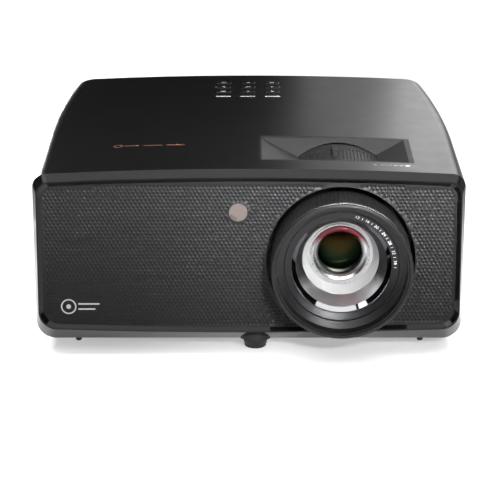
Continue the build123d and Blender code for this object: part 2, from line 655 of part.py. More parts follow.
with BuildPart() as zoom_lens:
    lens_disc(86.0, 83.2, 94.8, 92.0, 27.0)

with BuildPart() as lens_mount:
    block((LENS_X - 74, LENS_PLATE_Y, FLOOR_Z), (LENS_X + 74, LENS_PLATE_Y + 6, LENS_Z + 68))
    with BuildSketch(lens_plane(125.0)):
        Circle(32.0)
        with Locations([(sx * 42.0, sz * 42.0) for sx in (-1, 1) for sz in (-1, 1)]):
            Circle(1.7)
    extrude(amount=-6, mode=Mode.SUBTRACT)
    block((LENS_X - 74, LENS_PLATE_Y + 6, FLOOR_Z), (LENS_X + 74, LENS_PLATE_Y + 12, FLOOR_Z + 3))

with BuildPart() as rear_lens:
    lens_disc(118.0, 115.0, 143.0, 140.0, 30.0)

for piece, label in ((lens_barrel, "lens_barrel"), (focus_ring, "focus_ring"),
                     (scale_ring, "scale_ring"), (focus_cell, "focus_cell"),
                     (reflector_cone, "reflector_cone"), (front_lens, "front_lens"),
                     (zoom_ring, "zoom_ring"), (zoom_cell, "zoom_cell"), (zoom_lens, "zoom_lens"),
                     (lens_mount, "lens_mount"), (rear_lens, "rear_lens")):
    save(piece, label)

# ---------------------------------------------------------------- light engine
ENGINE_LOW = (30.0, LENS_PLATE_Y + 12, FLOOR_Z)
ENGINE_HIGH = (140.0, 58.0, 146.0)
ENGINE_WALL = 4.0

with BuildPart() as engine_housing:
    block(ENGINE_LOW, ENGINE_HIGH)
    block(tuple(v + ENGINE_WALL for v in ENGINE_LOW), tuple(v - ENGINE_WALL for v in ENGINE_HIGH),
          Mode.SUBTRACT)
    with BuildSketch(lens_plane(136.0)):
        Circle(32.0)
    extrude(amount=-6, mode=Mode.SUBTRACT)
    # window for the imaging chip at the back, and the light inlet on the left
    block((LENS_X - 14, 50.0, LENS_Z - 10), (LENS_X + 14, 60.0, LENS_Z + 10), Mode.SUBTRACT)
    block((28.0, 10.0, 78.0), (36.0, 30.0, 98.0), Mode.SUBTRACT)

with BuildPart() as prism:
    with BuildSketch(Plane.XY.offset(FLOOR_Z + ENGINE_WALL)):
        with Locations((LENS_X, 20.0)):
            Rectangle(50.0, 40.0)
    extrude(amount=55.5)
    with BuildSketch(Plane.YZ.offset(LENS_X - 18)):
        with BuildLine():
            Polyline((2.0, 74.0), (38.0, 74.0), (38.0, 110.0), (2.0, 92.0), close=True)
        make_face()
    extrude(amount=36)

with BuildPart() as imaging_board:
    board_y = ENGINE_HIGH[1]
    back_y = board_y + BOARD_THICKNESS
    block((45.0, board_y, 45.0), (128.0, back_y, 135.0))
    block((LENS_X - 13, board_y - 6, LENS_Z - 9), (LENS_X + 13, board_y, LENS_Z + 9))
    for x, z in ((55.0, 60.0), (118.0, 60.0), (60.0, 120.0)):
        block((x - 7, back_y, z - 6), (x + 7, back_y + 2, z + 6))

with BuildPart() as laser_module:
    block((34.0, 84.0, FLOOR_Z), (136.0, 150.0, 92.0))
    with BuildSketch(Plane.XY.offset(92.0)):
        with Locations((85.0, 117.0)):
            with GridLocations(18.0, 16.0, 5, 3):
                Circle(5.0)
    extrude(amount=4.0)
    block((60.0, 64.0, 50.0), (110.0, 84.0, 80.0))

wheel_plane = Plane(origin=WHEEL_CENTRE, x_dir=(0, 1, 0), z_dir=(1, 0, 0))
with BuildPart() as phosphor_wheel:
    with BuildSketch(wheel_plane.offset(-1.0)):
        Circle(32.0)
    extrude(amount=1.2)
    with BuildSketch(wheel_plane.offset(0.2)):
        Circle(12.0)
    extrude(amount=8.0)
    with BuildSketch(wheel_plane.offset(-1.0)):
        Circle(2.05)
    extrude(amount=10.0, mode=Mode.SUBTRACT)

with BuildPart() as wheel_motor:
    with BuildSketch(wheel_plane.offset(-12.0)):
        Circle(2.0)
    extrude(amount=19.0)
    with BuildSketch(wheel_plane.offset(-12.0)):
        Circle(13.0)
    extrude(amount=10.0)
    block((WHEEL_CENTRE[0] - 16, WHEEL_CENTRE[1] - 18, FLOOR_Z),
          (WHEEL_CENTRE[0] - 12, WHEEL_CENTRE[1] + 18, WHEEL_CENTRE[2] + 18))
    block((WHEEL_CENTRE[0] - 16, WHEEL_CENTRE[1] - 18, FLOOR_Z),
          (WHEEL_CENTRE[0] + 14, WHEEL_CENTRE[1] + 18, FLOOR_Z + 3))

SINK_LOW = (-112.0, 78.0, FLOOR_Z)
SINK_HIGH = (-36.0, 150.0, 138.0)
PIPE_ROWS = ((96.0, 40.0), (117.0, 40.0), (138.0, 40.0), (96.0, 70.0), (117.0, 70.0), (138.0, 70.0))
PIPE_R = 3.0

with BuildPart() as heat_sink:
    block(SINK_LOW, (SINK_HIGH[0], SINK_HIGH[1], SINK_LOW[2] + 5))
    with BuildSketch(Plane.XY.offset(SINK_LOW[2])):
        with Locations(((SINK_LOW[0] + SINK_HIGH[0]) / 2, (SINK_LOW[1] + SINK_HIGH[1]) / 2)):
            with GridLocations(5.0, 0, 16, 1):
                Rectangle(1.0, SINK_HIGH[1] - SINK_LOW[1])
    extrude(amount=SINK_HIGH[2] - SINK_LOW[2])
    with BuildSketch(Plane.YZ.offset(SINK_LOW[0] - 5)):
        with Locations(PIPE_ROWS):
            Circle(PIPE_R)
    extrude(amount=100, mode=Mode.SUBTRACT)

with BuildPart() as heat_pipes:
    with BuildSketch(Plane.YZ.offset(SINK_LOW[0] - 3)):
        with Locations(PIPE_ROWS):
            Circle(PIPE_R)
    extrude(amount=34.0 - SINK_LOW[0] + 3)

for piece, label in ((engine_housing, "engine_housing"), (prism, "prism"),
                     (imaging_board, "imaging_board"), (laser_module, "laser_module"),
                     (phosphor_wheel, "phosphor_wheel"), (wheel_motor, "wheel_motor"),
                     (heat_sink, "heat_sink"), (heat_pipes, "heat_pipes")):
    save(piece, label)

# ---------------------------------------------------------------- fans and boards
def fan_plane(spot):
    return Plane(origin=(spot[0], spot[1], FAN_Z), x_dir=(0, 1, 0), z_dir=(1, 0, 0))


HALF_FAN = FAN_SIZE / 2
FAN_BORE_R = 43.5
FAN_HUB_R = 19.0
BLADES = 7

with BuildPart() as fan_frames:
    for spot in FAN_SPOTS.values():
        plane = fan_plane(spot)
        with BuildSketch(plane.offset(-FAN_DEPTH / 2)):
            Rectangle(FAN_SIZE, FAN_SIZE)
            Circle(FAN_BORE_R, mode=Mode.SUBTRACT)
            with GridLocations(82.5, 82.5, 2, 2):
                Circle(2.2, mode=Mode.SUBTRACT)
        extrude(amount=FAN_DEPTH)
        with BuildSketch(plane.offset(-FAN_DEPTH / 2)):
            Circle(FAN_HUB_R)
            with PolarLocations(31.0, 4, start_angle=45):
                Rectangle(26.0, 4.0)
        extrude(amount=3.0)
        with BuildSketch(plane.offset(-FAN_DEPTH / 2)):
            Circle(2.0)
        extrude(amount=18.0)
        block((spot[0] - 5, spot[1] - 30, FLOOR_Z), (spot[0] + 5, spot[1] + 30, FAN_Z - HALF_FAN))

for label, spot in FAN_SPOTS.items():
    plane = fan_plane(spot)
    with BuildPart() as rotor:
        with BuildSketch(plane.offset(-FAN_DEPTH / 2 + 4)):
            Circle(FAN_HUB_R)
        extrude(amount=FAN_DEPTH - 5)
        for step in range(BLADES):
            root = Plane(plane.offset(-FAN_DEPTH / 2 + 5).location * Rot(0, 0, step * 360 / BLADES))
            with BuildSketch(root):
                with Locations(Pos(30.0, 0) * Rot(0, 0, 8)):
                    Rectangle(25.0, 2.0)
            with BuildSketch(root.offset(17)):
                with Locations(Pos(28.6, 9.0) * Rot(0, 0, 26)):
                    Rectangle(25.0, 2.0)
            loft()
        with BuildSketch(plane.offset(-FAN_DEPTH / 2 + 3)):
            Circle(2.06)
        extrude(amount=17.0, mode=Mode.SUBTRACT)
    save(rotor, f"fan_rotor_{label}")

MAIN_CHIPS = (              # centre x and z, width, height, thickness
    (-110, 112, 34, 34, 5), (-50, 118, 22, 22, 2), (-20, 118, 16, 24, 2),
    (25, 100, 28, 20, 2), (-70, 90, 14, 14, 2), (40, 132, 12, 20, 3))
SUPPLY_BLOCKS = (           # centre x and y, width, depth, height
    (-120, -100, 34, 30, 34), (-70, -110, 26, 24, 26), (-30, -110, 30, 18, 20),
    (-120, -55, 20, 24, 28), (-40, -60, 44, 6, 40), (-80, -60, 12, 30, 16))
SUPPLY_BOARD_Z = 24.0
SUPPLY_TOP_Z = SUPPLY_BOARD_Z + BOARD_THICKNESS
CAPACITOR_SPOTS = ((-96, -110), (-96, -92), (-10, -80))

with BuildPart() as main_board:
    block((-150.0, MAIN_BOARD_Y, 40.0), (66.0, BOARD_BACK_Y, 150.0))
    for x, z, w, h, t in MAIN_CHIPS:
        block((x - w / 2, MAIN_BOARD_Y - t, z - h / 2), (x + w / 2, MAIN_BOARD_Y, z + h / 2))
    block((-150.0, MAIN_BOARD_Y - 3, FLOOR_Z), (66.0, MAIN_BOARD_Y, 42.0))

with BuildPart() as power_supply:
    block((-150.0, -136.0, SUPPLY_BOARD_Z), (4.0, -34.0, SUPPLY_TOP_Z))
    for x, y, w, d, h in SUPPLY_BLOCKS:
        block((x - w / 2, y - d / 2, SUPPLY_TOP_Z), (x + w / 2, y + d / 2, SUPPLY_TOP_Z + h))
    for spot in CAPACITOR_SPOTS:
        post(spot, 8.0, SUPPLY_TOP_Z, 58.0)
    for x in (-146.0, -16.0):
        for y in (-126.0, -38.0):
            post((x, y), 3.0, FLOOR_Z, SUPPLY_BOARD_Z)

# Steel plate that carries the engine, boards and fans, with holes over every boss.
with BuildPart() as base_plate:
    with BuildSketch(Plane.XY.offset(PLATE_Z)):
        with BuildLine():
            Polyline((-180, -128), (180, -128), (180, 20), (163, 172), (-163, 172), (-180, 20), close=True)
        make_face()
    extrude(amount=PLATE_THICKNESS)
    with BuildSketch(Plane.XY.offset(PLATE_Z - 1)):
        with Locations(insert_spots):
            Circle(INSERT_R + 3.4)
        with Locations(SCREW_SPOTS):
            Circle(5.5)
        with Locations(list(FOOT_SPOTS.values())):
            Circle(FOOT_POCKET_R + 2.6)
        for centre in INTAKE_CENTRES:
            with Locations(centre):
                with GridLocations(8.0, 34.0, 10, 2):
                    SlotOverall(28.0, 4.0, rotation=90)
    extrude(amount=PLATE_THICKNESS + 2, mode=Mode.SUBTRACT)

# ---------------------------------------------------------------- feet and fasteners
PAD_TOP_Z = 2.2
KNOB_LOW_Z = 2.5
KNOB_TOP_Z = 14.0
STEM_TOP_Z = 34.0
PIVOT_R = 3.0

with BuildPart() as threaded_inserts:
    for spot in insert_spots:
        post(spot, INSERT_R, CASE_BOTTOM_Z, INSERT_TOP_Z)
        post(spot, INSERT_BORE_R, CASE_BOTTOM_Z - 1, INSERT_TOP_Z - 1, Mode.SUBTRACT)
    for spot in FOOT_SPOTS.values():
        post(spot, BOSS_R, FOOT_POCKET_TOP_Z, 36.0)
        post(spot, STEM_R, FOOT_POCKET_TOP_Z - 1, 37.0, Mode.SUBTRACT)

with BuildPart() as case_screws:
    for spot in SCREW_SPOTS:
        post(spot, 2.9, CASE_BOTTOM_Z + 0.4, CASE_BOTTOM_Z + 2.8)
        post(spot, SCREW_R, CASE_BOTTOM_Z + 2.8, 44.0)
        post(spot, 1.1, CASE_BOTTOM_Z, CASE_BOTTOM_Z + 1.8, Mode.SUBTRACT)

for label, spot in FOOT_SPOTS.items():
    with BuildPart() as foot:
        with BuildSketch(Plane.XY.offset(KNOB_LOW_Z)):
            with Locations(spot):
                Circle(10.6)
        with BuildSketch(Plane.XY.offset(9.2)):
            with Locations(spot):
                Circle(12.2)
        loft()
        with BuildSketch(Plane.XY.offset(KNOB_LOW_Z)):
            with Locations(spot):
                with PolarLocations(12.4, 30):
                    Circle(0.9)
        extrude(amount=6.4, mode=Mode.SUBTRACT)
        post(spot, FOOT_R, 9.2, KNOB_TOP_Z)
        post(spot, STEM_R - STEM_GAP, KNOB_TOP_Z, STEM_TOP_Z)
        post(spot, PIVOT_R + RUNNING_GAP, KNOB_LOW_Z - 1, 7.0, Mode.SUBTRACT)
    save(foot, f"{label}_foot_knob")
    with BuildPart() as pad:
        post(spot, 10.2, 0, PAD_TOP_Z)
        chamfer(pad.faces().sort_by(Axis.Z)[0].edges(), 0.5)
        post(spot, PIVOT_R, PAD_TOP_Z, 6.4)
    save(pad, f"{label}_foot_pad")

with BuildPart() as bumpers:
    for x in (-161.6, 162.1):
        post((x, -146.0), 2.9, 4.6, CASE_BOTTOM_Z)
    fillet(bumpers.faces().filter_by(Axis.Z).group_by(Axis.Z)[0].edges(), 1.6)

for piece, label in ((fan_frames, "fan_frames"), (main_board, "main_board"),
                     (power_supply, "power_supply"), (base_plate, "base_plate"),
                     (threaded_inserts, "threaded_inserts"), (case_screws, "case_screws"),
                     (bumpers, "bumpers")):
    save(piece, label)
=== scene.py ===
import json
import math

import bmesh
import bpy
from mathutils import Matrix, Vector
from mathutils.bvhtree import BVHTree
from mathutils.geometry import delaunay_2d_cdt


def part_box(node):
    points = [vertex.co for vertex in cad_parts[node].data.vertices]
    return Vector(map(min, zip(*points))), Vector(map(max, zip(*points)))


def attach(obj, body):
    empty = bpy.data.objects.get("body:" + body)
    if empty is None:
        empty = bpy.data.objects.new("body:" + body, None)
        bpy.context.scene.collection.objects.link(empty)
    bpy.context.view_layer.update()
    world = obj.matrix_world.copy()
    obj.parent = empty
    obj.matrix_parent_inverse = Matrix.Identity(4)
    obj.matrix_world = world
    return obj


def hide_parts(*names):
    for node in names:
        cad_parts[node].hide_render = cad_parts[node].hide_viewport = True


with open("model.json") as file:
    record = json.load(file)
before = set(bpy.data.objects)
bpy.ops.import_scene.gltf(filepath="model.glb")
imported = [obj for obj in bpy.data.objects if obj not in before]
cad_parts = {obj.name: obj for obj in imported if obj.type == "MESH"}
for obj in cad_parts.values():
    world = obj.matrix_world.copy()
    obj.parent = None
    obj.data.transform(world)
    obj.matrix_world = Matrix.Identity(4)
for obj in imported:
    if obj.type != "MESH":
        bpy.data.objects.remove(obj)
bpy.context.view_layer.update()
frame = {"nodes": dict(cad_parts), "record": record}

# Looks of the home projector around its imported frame. Metres, Z up, the lens looks along -Y.
scene = bpy.context.scene
MM = 0.001

# ---------------------------------------------------------------- places taken from the frame
lens_low, lens_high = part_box("focus_ring")
LENS_X = (lens_low.x + lens_high.x) / 2
LENS_Z = (lens_low.z + lens_high.z) / 2
NOSE_Y = lens_low.y

FRONT_LEAN = math.radians(5.0)
LEAN_SIN, LEAN_COS = math.sin(FRONT_LEAN), math.cos(FRONT_LEAN)
PANEL_THICKNESS = 2.2 * MM
panel_low, panel_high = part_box("front_panel")
PANEL_HALF = panel_high.x
PANEL_FOOT = Vector((0, panel_low.y, panel_low.z + PANEL_THICKNESS * LEAN_SIN))
PANEL_HEIGHT = (panel_high.z - PANEL_FOOT.z) / LEAN_COS
LENS_OPENING_R = 69.2 * MM
IR_HOLE_R = 8.4 * MM
IR_SETBACK = 2.8 * MM       # from the panel's face to the middle of the window's flange
PANEL_TOP_CROWN = 5.0 * MM
PANEL_LOW_CROWN = 3.5 * MM
PANEL_TOP_R = 9.7 * MM
PANEL_LOW_R = 14.7 * MM
CASE_TOP_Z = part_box("top_cover")[1].z


# ---------------------------------------------------------------- mesh helpers
def new_object(name, verts, faces, body, slot, smooth_angle=35.0):
    """Mesh object in the row frame that rides on a body, with outward normals."""
    mesh = bpy.data.meshes.new(name)
    mesh.from_pydata([tuple(v) for v in verts], [], faces)
    bm = bmesh.new()
    bm.from_mesh(mesh)
    bmesh.ops.recalc_face_normals(bm, faces=bm.faces)
    bm.to_mesh(mesh)
    bm.free()
    mesh.polygons.foreach_set("use_smooth", [True] * len(mesh.polygons))
    mesh.set_sharp_from_angle(angle=math.radians(smooth_angle))
    obj = bpy.data.objects.new(name, mesh)
    scene.collection.objects.link(obj)
    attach(obj, body)
    return obj


def around_lens(along, radius, angle):
    """Point at an angle clockwise from the top of the lens axis, seen from the front."""
    return Vector((LENS_X + radius * math.sin(angle), along, LENS_Z + radius * math.cos(angle)))


RIB_PATTERN = (0, 1, 1, 0)      # share of the groove's depth at each step round one rib


def lathe(profile, segments, ribbed=(), groove=0.0):
    """Closed ring about the lens axis from a closed half section of (along, radius) points.
    Points listed in ribbed get grooves of that depth, one per run of the rib pattern."""
    count = len(profile)
    verts = []
    for k in range(segments):
        angle = 2 * math.pi * k / segments
        cut = groove * RIB_PATTERN[k % len(RIB_PATTERN)]
        for index, (along, radius) in enumerate(profile):
            verts.append(around_lens(along, radius - (cut if index in ribbed else 0), angle))
    faces = []
    for k in range(segments):
        a, b = k * count, (k + 1) % segments * count
        for i in range(count):
            j = (i + 1) % count
            faces.append((a + i, a + j, b + j, b + i))
    return verts, faces


DISC_SEGMENTS = 96
DISC_RINGS = 14


def lens_disc(front_rim, front_apex, back_apex, back_rim, radius):
    """Closed round lens about the lens axis, from the places of its rims and apexes."""
    def surface(rim, apex):
        sag = rim - apex
        sphere = (radius**2 + sag**2) / (2 * abs(sag))
        sign = math.copysign(1, sag)
        steps = [radius * n / DISC_RINGS for n in range(1, DISC_RINGS + 1)]
        return [(apex + sign * (sphere - math.sqrt(sphere**2 - r**2)), r) for r in steps]

    front = surface(front_rim, front_apex)
    back = surface(back_rim, back_apex)
    outline = front + back[::-1]
    verts = [around_lens(front_apex, 0, 0), around_lens(back_apex, 0, 0)]
    for k in range(DISC_SEGMENTS):
        verts += [around_lens(y, r, 2 * math.pi * k / DISC_SEGMENTS) for y, r in outline]
    faces = []
    count = len(outline)
    for k in range(DISC_SEGMENTS):
        a, b = 2 + k * count, 2 + (k + 1) % DISC_SEGMENTS * count
        faces.append((0, a, b))
        faces.append((1, b + count - 1, a + count - 1))
        faces += [(a + i, a + i + 1, b + i + 1, b + i) for i in range(count - 1)]
    return verts, faces


def arc(cx, cy, radius, start, end, steps):
    """Points on a circle from one angle to another, in radians, both ends included."""
    return [(cx + radius * math.cos(start + (end - start) * n / steps),
             cy + radius * math.sin(start + (end - start) * n / steps)) for n in range(steps + 1)]


SAME_POINT = 1e-6       # points closer than this are one


def bowed_outline(half, low, high, top_crown, low_crown, top_r, low_r):
    """Outline with a bowed top and bottom, upright sides and four rounded corners."""
    corner_steps, bow_steps = 14, 40
    top_sweep = (half**2 + top_crown**2) / (2 * top_crown)
    low_sweep = (half**2 + low_crown**2) / (2 * low_crown)
    top_y = high - top_sweep
    low_y = low + low_sweep
    top_rise = math.sqrt((top_sweep - top_r) ** 2 - (half - top_r) ** 2)
    low_rise = math.sqrt((low_sweep - low_r) ** 2 - (half - low_r) ** 2)
    a = math.atan2(top_rise, half - top_r)
    b = math.atan2(low_rise, half - low_r)
    turn = math.pi
    points = arc(half - top_r, top_y + top_rise, top_r, 0, a, corner_steps)
    points += arc(0, top_y, top_sweep, a, turn - a, bow_steps)
    points += arc(top_r - half, top_y + top_rise, top_r, turn - a, turn, corner_steps)
    points += arc(low_r - half, low_y - low_rise, low_r, turn, turn + b, corner_steps)
    points += arc(0, low_y, low_sweep, turn + b, 2 * turn - b, bow_steps)
    points += arc(half - low_r, low_y - low_rise, low_r, 2 * turn - b, 2 * turn, corner_steps)
    kept = []
    for p in points:
        if not kept or math.dist(p, kept[-1]) > SAME_POINT:
            kept.append(p)
    return kept


def inside(polygon, x, y):
    """True if the point is inside the polygon."""
    hit = False
    for (ax, ay), (bx, by) in zip(polygon, polygon[1:] + polygon[:1]):
        if (ay > y) != (by > y) and x < ax + (y - ay) * (bx - ax) / (by - ay):
            hit = not hit
    return hit


MERGE_DISTANCE = 1e-8   # within which the triangulation joins points


def plate_with_holes(loops, keep):
    """Triangles of a flat region bounded by loops, keeping those whose middle passes the test.
    Returns the points, the triangles and the new number of each given point."""
    points = [Vector(p) for loop in loops for p in loop]
    edges = []
    start = 0
    for loop in loops:
        edges += [(start + i, start + (i + 1) % len(loop)) for i in range(len(loop))]
        start += len(loop)
    flat, _, triangles, sources, _, _ = delaunay_2d_cdt(points, edges, [], 0, MERGE_DISTANCE)
    number = {}
    for new, olds in enumerate(sources):
        for old in olds:
            number[old] = new
    kept = []
    for t in triangles:
        x = sum(flat[i].x for i in t) / len(t)
        y = sum(flat[i].y for i in t) / len(t)
        if keep(x, y):
            kept.append(tuple(t))
    return flat, kept, number


def stamped(polygons, place, height):
    """Thin closed prisms from flat outlines; place maps (x, y, rise) into the row frame."""
    verts, faces = [], []
    for outline in polygons:
        start, count = len(verts), len(outline)
        verts += [place(x, y, 0) for x, y in outline]
        verts += [place(x, y, height) for x, y in outline]
        faces.append(tuple(range(start, start + count))[::-1])
        faces.append(tuple(range(start + count, start + 2 * count)))
        faces += [(start + i, start + (i + 1) % count, start + count + (i + 1) % count,
                   start + count + i) for i in range(count)]
    return verts, faces


def bar(x, y, width, height):
    """Rectangle outline about a middle point."""
    return [(x - width / 2, y - height / 2), (x + width / 2, y - height / 2),
            (x + width / 2, y + height / 2), (x - width / 2, y + height / 2)]


def band(cx, cy, radius, width, start, end, steps=20):
    """Outline of a curved stroke between two angles in degrees."""
    a, b = math.radians(start), math.radians(end)
    return arc(cx, cy, radius + width / 2, a, b, steps) + arc(cx, cy, radius - width / 2, b, a, steps)


def arrow(x, y, size, heading):
    """Triangle that points along a heading in degrees."""
    a = math.radians(heading)
    corners = [(size, 0), (-size * 0.6, size * 0.85), (-size * 0.6, -size * 0.85)]
    return [(x + c * math.cos(a) - s * math.sin(a), y + c * math.sin(a) + s * math.cos(a))
            for c, s in corners]


# ---------------------------------------------------------------- materials
NOISE_LOW, NOISE_HIGH = 0.3, 0.7     # nearly all values of a noise texture lie between these


class Finish:
    """A procedural material: colour that varies, roughness that varies, and fine relief."""

    def __init__(self, name, rough=0.5, metal=0.0, ior=1.5, coat=0.0, coat_rough=0.05):
        self.material = bpy.data.materials.new(name)
        self.material.use_nodes = True
        self.nodes = self.material.node_tree.nodes
        self.links = self.material.node_tree.links
        self.shader = self.nodes["Principled BSDF"]
        self.shader.inputs["Roughness"].default_value = rough
        self.shader.inputs["Metallic"].default_value = metal
        self.shader.inputs["IOR"].default_value = ior
        self.shader.inputs["Coat Weight"].default_value = coat
        self.shader.inputs["Coat Roughness"].default_value = coat_rough
        self.place = self.nodes.new("ShaderNodeTexCoord").outputs["Object"]

    def set(self, **values):
        """Constant values of the shader's sockets, with underscores for the spaces."""
        for key, value in values.items():
            self.shader.inputs[key.replace("_", " ")].default_value = value
        return self

    def noise(self, scale, detail=3.0, stretch=None):
        """Noise with this many features a metre, stretched along the axes if asked."""
        texture = self.nodes.new("ShaderNodeTexNoise")
        texture.inputs["Scale"].default_value = scale
        texture.inputs["Detail"].default_value = detail
        if stretch:
            mapping = self.nodes.new("ShaderNodeMapping")
            mapping.inputs["Scale"].default_value = stretch
            self.links.new(self.place, mapping.inputs["Vector"])
            self.links.new(mapping.outputs["Vector"], texture.inputs["Vector"])
        else:
            self.links.new(self.place, texture.inputs["Vector"])
        return texture.outputs["Fac"]

    def colour(self, source, dark, light):
        """Base colour between two tones by a texture."""
        ramp = self.nodes.new("ShaderNodeValToRGB")
        ramp.color_ramp.elements[0].position = NOISE_LOW
        ramp.color_ramp.elements[1].position = NOISE_HIGH
        ramp.color_ramp.elements[0].color = (*dark, 1)
        ramp.color_ramp.elements[1].color = (*light, 1)
        self.links.new(source, ramp.inputs["Fac"])
        self.links.new(ramp.outputs["Color"], self.shader.inputs["Base Color"])
        return self

    def rise(self, low, high):
        """Factor that goes smoothly from 0 to 1 between two heights."""
        split = self.nodes.new("ShaderNodeSeparateXYZ")
        self.links.new(self.place, split.inputs["Vector"])
        span = self.nodes.new("ShaderNodeMapRange")
        span.interpolation_type = "SMOOTHSTEP"
        span.inputs["From Min"].default_value = low
        span.inputs["From Max"].default_value = high
        self.links.new(split.outputs["Z"], span.inputs["Value"])
        return span.outputs["Result"]

    def second_colour(self, factor, colour):
        """Another base colour where the factor is one."""
        mix = self.nodes.new("ShaderNodeMix")
        mix.data_type = "RGBA"
        socket = self.shader.inputs["Base Color"]
        self.links.new(factor, mix.inputs["Factor"])
        self.links.new(socket.links[0].from_socket, mix.inputs["A"])
        mix.inputs["B"].default_value = (*colour, 1)
        self.links.new(mix.outputs["Result"], socket)
        return self

    def roughness(self, source, low, high):
        """Roughness between two values by a texture."""
        span = self.nodes.new("ShaderNodeMapRange")
        span.inputs["From Min"].default_value = NOISE_LOW
        span.inputs["From Max"].default_value = NOISE_HIGH
        span.inputs["To Min"].default_value = low
        span.inputs["To Max"].default_value = high
        self.links.new(source, span.inputs["Value"])
        self.links.new(span.outputs["Result"], self.shader.inputs["Roughness"])
        return self

    def relief(self, source, depth):
        """Bump of a real depth in metres."""
        bump = self.nodes.new("ShaderNodeBump")
        bump.inputs["Strength"].default_value = 1.0
        bump.inputs["Distance"].default_value = depth
        self.links.new(source, bump.inputs["Height"])
        self.links.new(bump.outputs["Normal"], self.shader.inputs["Normal"])
        return self


COOL = (1.0, 1.01, 1.06)        # tint of the black plastics
NEUTRAL = (1, 1, 1)
FINE = 0.000001                 # depth of a relief that only breaks up a mirror, in metres


def tone(value, tint):
    """Tinted colour of a brightness."""
    return tuple(value * t for t in tint)


def moulded(name, value, rough, grain=900.0, depth=0.00006, tint=COOL, spread=0.18, gloss=0.5):
    """Textured moulded plastic."""
    made = Finish(name, rough).set(Specular_IOR_Level=gloss)
    made.colour(made.noise(grain * 0.8, 2.0), tone(value * (1 - spread), tint),
                tone(value * (1 + spread), tint))
    made.roughness(made.noise(60.0, 3.0), rough - 0.02, rough + 0.02)
    made.relief(made.noise(grain, 2.0), depth)
    return made.material


def polished(name, value, rough, tint=COOL, ior=1.5):
    """Gloss plastic with faint waviness and handling haze."""
    made = Finish(name, rough, ior=ior)
    made.colour(made.noise(40.0, 3.0), tone(value * 0.9, tint), tone(value * 1.1, tint))
    made.roughness(made.noise(25.0, 4.0), rough * 0.8, rough * 1.3)
    made.relief(made.noise(60.0, 2.0), 0.00001)
    return made.material


def metal(name, colour, rough, grain=300.0, stretch=None, depth=0.00002, spread=0.08):
    """Bare or plated metal with a directional grain."""
    made = Finish(name, rough, metal=1.0)
    made.colour(made.noise(grain, 3.0, stretch), tuple(c * (1 - spread) for c in colour),
                tuple(min(1, c * (1 + spread)) for c in colour))
    made.roughness(made.noise(grain * 0.5, 3.0, stretch), rough * (1 - 2 * spread),
                   rough * (1 + 2 * spread))
    made.relief(made.noise(grain * 2, 2.0, stretch), depth)
    return made.material


def circuit(name):
    """Solder mask with tracks, pads and small variation."""
    made = Finish(name, 0.35, coat=0.4, coat_rough=0.15)
    cells = made.nodes.new("ShaderNodeTexBrick")
    cells.inputs["Scale"].default_value = 160.0
    cells.inputs["Mortar Size"].default_value = 0.03
    cells.inputs["Color1"].default_value = (0.012, 0.07, 0.032, 1)
    cells.inputs["Color2"].default_value = (0.016, 0.09, 0.04, 1)
    cells.inputs["Mortar"].default_value = (0.05, 0.17, 0.08, 1)
    made.links.new(made.place, cells.inputs["Vector"])
    made.links.new(cells.outputs["Color"], made.shader.inputs["Base Color"])
    made.relief(cells.outputs["Fac"], 0.00004)
    made.roughness(made.noise(200.0), 0.28, 0.42)
    return made.material


def glass(name, tint, coat_tint, ior):
    """Coated optical glass: clear body, coloured sheen, faint dust."""
    made = Finish(name, 0.01, ior=ior)
    made.colour(made.noise(120.0, 2.0), tuple(c * 0.97 for c in tint), tint)
    made.roughness(made.noise(300.0, 3.0), 0.004, 0.02)
    made.relief(made.noise(30.0, 1.0), 0.000002)
    made.set(Transmission_Weight=1.0, Specular_Tint=(*coat_tint, 1))
    return made.material


def metal_with_painted_light(name, colour, rough, low, high, upper):
    """Plated ring with hardly any grain, which takes another colour between two heights: painted shade on
    the ring's upper part, or a painted red reflection of the coated glass. The heights are millimetres
    above the lens axis."""
    made = Finish(name, rough, metal=1.0)
    made.colour(made.noise(500.0), tuple(c * 0.97 for c in colour), tuple(c * 1.03 for c in colour))
    made.second_colour(made.rise(LENS_Z + low * MM, LENS_Z + high * MM), upper)
    made.roughness(made.noise(250.0), rough * 0.95, rough * 1.05)
    made.relief(made.noise(900.0), FINE)
    return made.material


